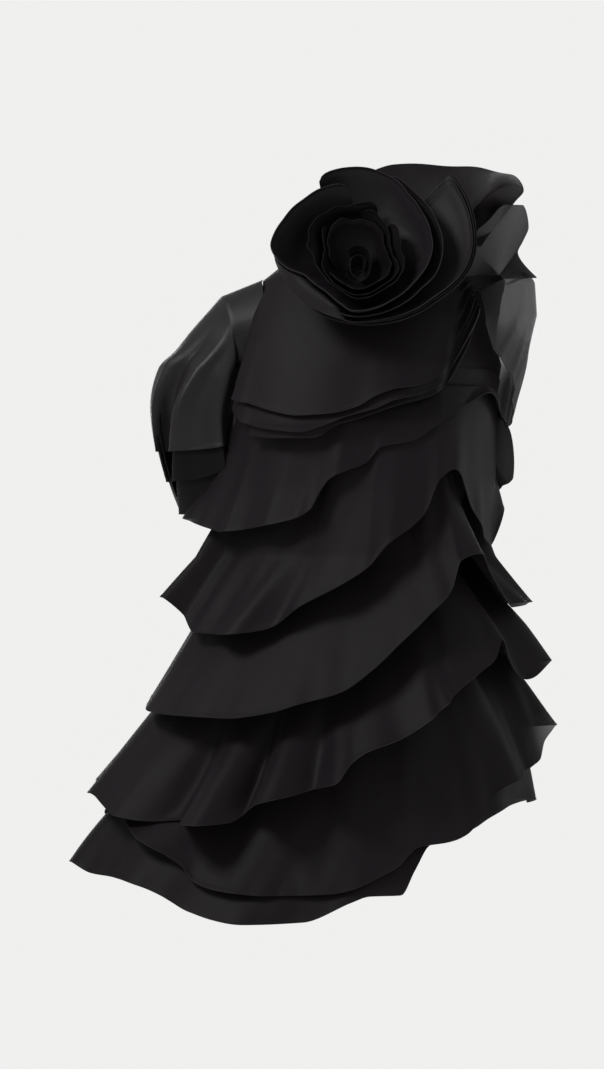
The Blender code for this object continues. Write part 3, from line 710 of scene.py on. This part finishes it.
# The left armhole: a single sheer flounce that hangs from the shoulder, and a short ruffle standing on it,
# turned over in an S. Light comes through both.
LEFT_SLEEVE = table(
    "angle seam brim brim_out hem hem_out",
    (-44, -62, -64, 12, -104, 22), (-38, -57, -52, 24, -134, 25), (-24, -54, -43, 32, -158, 25),
    (-8, -53, -40, 35, -190, 24), (10, -53, -40, 36, -224, 26), (28, -56, -47, 32, -214, 32),
    (42, -62, -62, 22, -200, 26), (52, -72, -76, 12, -180, 20),
)
LEFT_COLUMNS = 110
LEFT_ROWS = 46
LEFT_OUT = 1.8
BRIM_SHARE = 0.2  # of the way down, where the cloth has swelled out over the shoulder and turns to hang
BRIM_SWELL = 0.75  # below 1, the cloth swells out soon after its seam
LEFT_COVER = dict(top=0.48, hem=0.8, eased=(0.55, 0.85), folds=0.07, most=0.9)
LEFT_WRINKLES = table(
    FOLD, (-34, 2.4, 2, 0, 18), (-26, 2, -2, 0, 24), (-20, 1.6, 1.6, 0, 12), (-14, 2.2, 2, 0.1, 26),
    (-7, 2.4, -2, 0, 10), (-1, 1.5, 1.8, 0.2, 30), (5, 2.6, 2.4, 0, 14), (12, 2.4, -2, 0, 24),
    (19, 1.8, 1.6, 0.1, 10), (26, 3.4, 2.4, 0, 6), (38, 4, -2, 0, 4),
)
angle = spread(LEFT_SLEEVE, LEFT_COLUMNS)
side = {name: read(LEFT_SLEEVE, name, angle) for name in LEFT_SLEEVE}
steps = down_steps(LEFT_ROWS)
to_brim = np.clip(steps / BRIM_SHARE, 0, 1)
to_hem = np.clip((steps - BRIM_SHARE) / (1 - BRIM_SHARE), 0, 1)
heights = side["seam"] + (side["brim"] - side["seam"]) * to_brim
heights += (side["hem"] - side["brim"]) * to_hem
out = LEFT_OUT + (side["brim_out"] - LEFT_OUT) * to_brim**BRIM_SWELL
out += (side["hem_out"] - side["brim_out"]) * to_hem + folded(LEFT_WRINKLES, angle, steps) * to_brim
cover = LEFT_COVER["top"] + (LEFT_COVER["hem"] - LEFT_COVER["top"]) * ease(*LEFT_COVER["eased"], steps)
cover = cover + LEFT_COVER["folds"] * np.abs(folded(LEFT_WRINKLES, angle, steps))
sheet("left_flounce", "left_sleeve", on_body(heights, angle, out), SHEER, "sheer_organza",
      cover=np.clip(cover, 0, LEFT_COVER["most"]))

SHOULDER_RUFFLE = table(
    "angle seam edge_x edge_y edge_z cover",
    (-52, -47, 104, -88, 10, 0.98), (-44, -45, 120, -86, 24, 0.96), (-36, -43, 130, -82, 36, 0.9),
    (-27, -42, 137, -72, 40, 0.84), (-14, -42, 158, -56, 40, 0.77), (0, -42, 165, -46, 14, 0.78),
    (6, -42, 158, -45, -3, 0.86), (10, -42, 152, -44, -16, 0.9), (20, -44, 175, -38, -46, 0.9),
    (34, -46, 150, 14, -46, 0.9),
)
RUFFLE_COLUMNS = 110
RUFFLE_ROWS = 24
angle = spread(SHOULDER_RUFFLE, RUFFLE_COLUMNS)
base = on_body(read(SHOULDER_RUFFLE, "seam", angle), angle, SEAM_OUT)
edge = np.stack([read(SHOULDER_RUFFLE, "edge_" + axis, angle) for axis in "xyz"], axis=-1) * MM
sheet("shoulder_frill", "shoulder_ruffle", base + (edge - base) * down_steps(RUFFLE_ROWS)[..., None],
      SHEER, "sheer_organza", cover=read(SHOULDER_RUFFLE, "cover", angle))


# The collar petal: a wide band on the bias that stands on the neckline behind the rose, and turns out and
# down over the left shoulder in a rolled corner.
COLLAR = table(
    "angle edge_x edge_y edge_z arch roll",
    (-68, 108, -92, -10, 4, 4), (-56, 118, -76, 6, 8, 8), (-45, 135, -60, 25, 14, 16),
    (-34, 149, -52, 44, 18, 36), (-20, 159, -48, 59, 20, 62), (5, 147, 2, 77, 18, 40),
    (35, 112, 52, 87, 12, 10), (65, 62, 86, 93, 8, 0), (90, 6, 94, 94, 6, 0), (115, -46, 84, 73, 6, 0),
    (135, -78, 60, 44, 6, 0),
)
COLLAR_COLUMNS = 150
COLLAR_ROWS = 30
COLLAR_LAP = dict(down=2, out=1.3)  # the collar is sewn on over the neckline's edge
COLLAR_CREST = 1.3  # above 1, the roll's crest lies nearer the edge
COLLAR_WAVE = dict(size=1.2, count=9)
angle = spread(COLLAR, COLLAR_COLUMNS)
base = on_body(neckline(angle) - COLLAR_LAP["down"], angle, COLLAR_LAP["out"])
edge = np.stack([read(COLLAR, "edge_" + axis, angle) for axis in "xyz"], axis=-1) * MM
steps = down_steps(COLLAR_ROWS)[..., None]
collar = base + (edge - base) * steps
over = np.sin(np.pi * steps[..., 0] ** COLLAR_CREST)
collar[..., 1] -= read(COLLAR, "roll", angle) * MM * over
collar[..., 2] += read(COLLAR, "arch", angle) * MM * over
wave = COLLAR_WAVE["size"] * MM * np.cos(np.radians(angle * COLLAR_WAVE["count"]))
collar[..., 2] += wave * steps[..., 0] ** 2
sheet("collar", "collar_petal", collar, BLACK, "black_organza")


# The rose: strips of organza cut as petals and stitched on one small base, each a bowl inside the last,
# with raw rims that wave. It leans back to look up. Round it, 0 is the viewer's right and 90 its top.
ROSE_AT = (-38, -95.3, -45)
ROSE_TILT = 25
ROSE_BASE = 14
PETAL_STACK = 2.0
PETAL_DEGREES = 2.4
PETAL_ROWS = 26
PETAL_CORNER = 0.4  # how much lower a petal is at its very end
CURL = dict(start=0.72, out=2.0, down=5.0)
# The petals inside this layer are painted darker, as shade.
SHADE_PAINTED_LAYER = 4  # the petals inside this one lie in shade
WARP = ((2, 0.08, 160), (3, 0.075, 60), (5, 0.045, 80))  # waves round the inner petals, size, turned by
WARP_REACH = ((8, 40), (58, 72))  # from the rose's axis, where those waves grow and where they end
RIM_COUNTS = (2, 3, 7, 12, 19)
WAVE_REACH = 0.6  # how far a rim's wave moves it out, as a share of how far it lifts it
RIM = "angle reach rise"
PETALS = {
    "petal_outer_third": dict(node="rose_outer_3", layer=0, wave=0.6, end=5, rim=table(
        RIM, (-150, 82, 38), (-134, 79, 38), (-84, 84, 46), (-35, 102, 46), (0, 134, 45), (30, 151, 43),
        (50, 162, 41),
    )),
    "petal_outer_second": dict(node="rose_outer_2", layer=1, wave=0.6, end=6, rim=table(
        RIM, (-165, 86, 40), (-134, 80, 41), (-84, 82, 48), (-35, 99.5, 48.5), (0, 131.5, 47.5),
        (30, 148, 45.5), (48, 158, 44),
    )),
    "petal_outer_first": dict(node="rose_outer_1", layer=2, wave=0.6, end=7, rolled=(-190, -92), rim=table(
        RIM, (-196, 101, 42), (-178, 98, 44), (-155, 91, 46), (-134, 86, 46), (-110, 84, 48),
        (-84, 82, 51), (-35, 97, 51), (0, 129, 50), (30, 145, 48), (46, 154, 47),
    )),
    "petal_main_second": dict(node="rose_main_2", layer=3, wave=0.8, end=12, rim=table(
        RIM, (-120, 74, 58), (-96, 79, 59), (-78, 78.5, 59), (-35, 82, 58), (-11, 93, 57), (29, 103, 55),
        (52, 108, 53), (75, 121, 50),
    )),
    "petal_main": dict(node="rose_main", layer=4, wave=1.0, end=10, rim=table(
        RIM, (-265, 95, 57), (-247, 99, 58), (-210, 98.5, 61), (-188, 103, 62), (-171, 90, 64),
        (-153, 67, 66), (-130, 63, 68), (-108, 70, 69), (-96, 77, 70), (-78, 75, 69), (-55, 72, 67),
        (-35, 73, 65), (-11, 80, 64), (9, 86, 62), (29, 90, 60), (52, 97, 58), (72, 112, 56),
        (95, 118, 56), (110, 117, 56), (117, 114, 56),
    )),
    "petal_middle": dict(node="rose_middle", layer=5, wave=3.2, end=16, rim=table(
        RIM, (-290, 76, 50), (-260, 74, 50), (-200, 66, 56), (-174, 56, 60), (-149, 47, 62), (-120, 49, 63),
        (-90, 54, 63), (-54, 54, 61), (-20, 50, 58), (17, 55, 54), (55, 64, 50),
    )),
    "petal_middle_tucked": dict(node=None, layer=5.5, wave=2.6, end=20, rim=table(
        RIM, (-235, 58, 46), (-200, 52, 49), (-149, 42, 55), (-90, 47, 57), (-20, 44, 52), (55, 54, 46),
        (90, 64, 44),
    )),
    "petal_inner": dict(node="rose_inner", layer=6, wave=3.0, end=20, rim=table(
        RIM, (-165, 38, 46), (-140, 34, 48), (-84, 36, 50), (0, 36, 46), (50, 43, 42), (82, 50, 40),
        (130, 48, 41), (180, 40, 44),
    )),
}
CREST = dict(at=0.55, beyond=4, rise=55, swell=3)  # of a petal that rolls over, beside the main one
CREST_FALL = dict(reach=1.3, rise=2)
ROLL_DEGREES = 20  # how far round the roll takes to begin, and to end
HEART = dict(
    start=-90, turns=1.6, layer=6, lift=1.4, base=(4, 13.8), rim=(8, 24), rise=(27, 33), wave=0.8, seed=9,
    columns=160, rows=20,
)
HEART_PRESSED = 0.3  # how much narrower the heart is than it is tall, seen from the front


def rose_points(angle, reach, rise):
    """Points in the rose's own frame, its axis up, moved to where the rose is sewn on."""
    turn = np.radians(angle)
    warp = sum(size * np.cos(count * turn + np.radians(turned)) for count, size, turned in WARP)
    grow, end = WARP_REACH
    inner = ease(*grow, reach) * (1 - ease(*end, reach))
    reach, rise = np.broadcast_arrays(reach * (1 + warp * inner), rise)
    points = np.stack([reach * np.cos(turn), reach * np.sin(turn), rise], axis=-1)
    face_front = Matrix.Rotation(np.radians(90 - ROSE_TILT), 3, "X")
    return (points @ np.array(face_front).T + ROSE_AT) * MM


def rim_wave(seed, angle, size):
    """A raw rim's uneven wave."""
    draw = np.random.default_rng(seed)
    return size * sum(np.cos(np.radians(n * angle + draw.uniform(0, 360))) * n**-0.5 for n in RIM_COUNTS)


def rolled_over(steps, angle, rim, base):
    """A petal's reach and rise where it climbs beside the main petal and rolls over to its own rim."""
    up = np.clip(steps / CREST["at"], 0, 1) * np.pi / 2
    over = np.clip((steps - CREST["at"]) / (1 - CREST["at"]), 0, 1)
    crest = read(PETALS["petal_main"]["rim"], "reach", angle) + CREST["beyond"]
    reach = ROSE_BASE + (crest - ROSE_BASE) * np.sin(up)
    reach = reach + (read(rim, "reach", angle) - crest) * over ** CREST_FALL["reach"]
    rise = base + (CREST["rise"] - base) * (1 - np.cos(up)) + CREST["swell"] * np.sin(np.pi * over)
    return reach, rise - (CREST["rise"] - read(rim, "rise", angle)) * over ** CREST_FALL["rise"]


for seed, (name, petal) in enumerate(PETALS.items()):
    rim = petal["rim"]
    angle = spread(rim, round((rim["angle"][-1] - rim["angle"][0]) / PETAL_DEGREES))
    from_end = np.minimum(angle - angle[0], angle[-1] - angle) / petal["end"]
    corner = np.sqrt(1 - (1 - np.clip(from_end, 0, 1)) ** 2)
    steps = down_steps(PETAL_ROWS) * (1 - PETAL_CORNER * (1 - corner))
    curl = ease(CURL["start"], 1, steps) ** 2
    base = petal["layer"] * PETAL_STACK
    wave = rim_wave(seed, angle, petal["wave"]) * steps**3
    reach = ROSE_BASE + (read(rim, "reach", angle) - ROSE_BASE) * np.sin(steps * np.pi / 2)
    reach += WAVE_REACH * wave + CURL["out"] * curl
    rise = base + (read(rim, "rise", angle) - base) * (1 - np.cos(steps * np.pi / 2))
    rise += wave - CURL["down"] * curl
    if "rolled" in petal:
        start, end = petal["rolled"]
        roll = ease(start, start + ROLL_DEGREES, angle) * (1 - ease(end - ROLL_DEGREES, end, angle))
        over_reach, over_rise = rolled_over(steps, angle, rim, base)
        reach, rise = reach + (over_reach - reach) * roll, rise + (over_rise - rise) * roll
    # Petals deep in the rose get the darker painted shade and darker rims. The rest get the petal colour
    # lightened as painted light.
    finish, edge = (SHADE_PAINTED_BLACK, SHADE_PAINTED_EDGE) if petal["layer"] > SHADE_PAINTED_LAYER else (LIGHT_PAINTED_PETAL_BLACK, HIGHLIGHT_PAINTED_EDGE)
    sheet(name, petal["node"], rose_points(angle, reach, rise), finish, "rose_organza",
          rim=edge)

wound = np.linspace(0, 1, HEART["columns"] + 1)
angle = HEART["start"] + 360 * HEART["turns"] * wound
base = HEART["layer"] * PETAL_STACK + HEART["lift"]
inner, outer = (low + (high - low) * wound for low, high in (HEART["base"], HEART["rim"]))
steps = down_steps(HEART["rows"])
reach = (inner + (outer - inner) * steps) * (1 - HEART_PRESSED * np.cos(np.radians(angle)) ** 2)
top = HEART["rise"][0] + (HEART["rise"][1] - HEART["rise"][0]) * wound
rise = base + (top - base) * steps + rim_wave(HEART["seed"], angle, HEART["wave"]) * steps**2
# The heart is painted darker, as shade.
sheet("petal_heart", "rose_heart", rose_points(angle, reach, rise), SHADE_PAINTED_BLACK, "rose_organza",
      rim=SHADE_PAINTED_EDGE)


# Hem stitching: a row of short thread stitches, made by machine through each narrow turned hem, on the
# face that shows. The rose's petals are left raw.
STITCH = dict(pitch=4.2, length=2.7, thread=0.24, inside=1.9, sides=6, uneven=(0.85, 1.1), seed=7)
THREAD = organza("sewing thread", (0.012, 0.010, 0.012), (0.026, 0.023, 0.026), 0.5, 0.1, 0.3)

places, joins = [], []
for rows, ring in hems:
    edge, inward = rows[-1], rows[0] - rows[-1]
    around = np.roll(edge, -1, axis=0) - np.roll(edge, 1, axis=0) if ring else np.gradient(edge, axis=0)
    face = np.cross(around, inward)
    face /= np.linalg.norm(face, axis=-1, keepdims=True)
    inward = inward / np.linalg.norm(inward, axis=-1, keepdims=True)
    first, count = len(places), len(edge)
    places += (edge + inward * STITCH["inside"] * MM + face * HEM / 2 * MM).tolist()
    joins += [(first + i, first + (i + 1) % count) for i in range(count if ring else count - 1)]
mesh = bpy.data.meshes.new("hem paths")
mesh.from_pydata(places, joins, [])
paths = bpy.data.objects.new("hem_paths", mesh)
bpy.context.scene.collection.objects.link(paths)

sewing = bpy.data.node_groups.new("sewing", "GeometryNodeTree")
sewing.interface.new_socket("Paths", in_out="INPUT", socket_type="NodeSocketGeometry")
sizes = {
    name: sewing.interface.new_socket(name, in_out="INPUT", socket_type="NodeSocketFloat")
    for name in ("pitch", "length", "thread")
}
sewing.interface.new_socket("Stitches", in_out="OUTPUT", socket_type="NodeSocketGeometry")
needle = Thread(sewing)
given = sewing.nodes.new("NodeGroupInput")
size = {name: Thread(sewing, given.outputs[name]) for name in sizes}
line = needle.node("GeometryNodeMeshToCurve", {"Mesh": Thread(sewing, given.outputs["Paths"])})
spots = needle.node("GeometryNodeCurveToPoints", {"Curve": line, "Length": size["pitch"]}, mode="LENGTH")
turned = Thread(sewing, spots.socket.node.outputs["Rotation"])
stitch = needle.node(
    "GeometryNodeMeshCylinder",
    {"Vertices": STITCH["sides"], "Radius": size["thread"], "Depth": size["length"]},
)
least, most = STITCH["uneven"]
uneven = needle.node(
    "FunctionNodeRandomValue", {2: least, 3: most, "Seed": STITCH["seed"]}, 1, data_type="FLOAT"
)
sewn = needle.node(
    "GeometryNodeInstanceOnPoints",
    {"Points": spots, "Instance": stitch, "Rotation": turned, "Scale": uneven},
)
whole = needle.node("GeometryNodeRealizeInstances", {"Geometry": sewn})
black = needle.node("GeometryNodeSetMaterial", {"Geometry": whole, "Material": THREAD})
needle.node("NodeGroupOutput", {"Stitches": black})

machine = paths.modifiers.new("sewing", "NODES")
machine.node_group = sewing
for name, socket in sizes.items():
    machine[socket.identifier] = STITCH[name] * MM
mesh = bpy.data.meshes.new_from_object(paths.evaluated_get(bpy.context.evaluated_depsgraph_get()))
bpy.data.objects.remove(paths)
mesh.name = "hem_stitches"
stitches = bpy.data.objects.new("hem_stitches", mesh)
bpy.context.scene.collection.objects.link(stitches)
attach(stitches, "root")


# The floor under the dress, which isn't part of it. It fades out far from the middle.
FLOOR_RINGS = 24
FLOOR_FACETS = 64
FLOOR_MIDDLE = 0.02  # the innermost ring, as a share of the radius
FLOOR_FADE = {"From Min": 1.0, "From Max": 3.4, "To Min": 1.0, "To Max": 0.0}
FLOOR_PAINT = {"Base Color": (0.85, 0.85, 0.84, 1), "Roughness": 0.9, "Emission Strength": 0.45}
turn = np.linspace(0, 2 * np.pi, FLOOR_FACETS + 1)[:-1]
radius = np.linspace(FLOOR_MIDDLE, 1, FLOOR_RINGS)[:, None] * FLOOR_RADIUS
corner = np.arange(FLOOR_RINGS * FLOOR_FACETS).reshape(FLOOR_RINGS, FLOOR_FACETS)
corner = np.hstack([corner, corner[:, :1]])
quads = np.stack([corner[:-1, :-1], corner[1:, :-1], corner[1:, 1:], corner[:-1, 1:]], axis=-1)
level = FLOOR_HEIGHT + 0 * radius * turn
points = np.stack([radius * np.cos(turn), radius * np.sin(turn), level], axis=-1) * MM
mesh = bpy.data.meshes.new("floor")
mesh.from_pydata(
    points.reshape(-1, 3).tolist(), [], quads.reshape(-1, 4).tolist() + [corner[0, :-1].tolist()]
)
floor = bpy.data.objects.new("floor", mesh)
bpy.context.scene.collection.objects.link(floor)
pale = bpy.data.materials.new("pale floor")
pale.use_nodes = True
pale.node_tree.nodes.clear()
paint = Thread(pale.node_tree)
place = paint.node("ShaderNodeTexCoord", {}, "Object")
away = paint.node("ShaderNodeVectorMath", {0: place, 1: (0, 0, -FLOOR_HEIGHT * MM)}, operation="ADD")
away = paint.node("ShaderNodeVectorMath", {0: away}, "Value", operation="LENGTH")
fade = paint.node("ShaderNodeMapRange", {"Value": away, **FLOOR_FADE})
surface = paint.node(
    "ShaderNodeBsdfPrincipled", {"Alpha": fade, "Emission Color": SURROUND, **FLOOR_PAINT}
)
paint.node("ShaderNodeOutputMaterial", {"Surface": surface})
mesh.materials.append(pale)
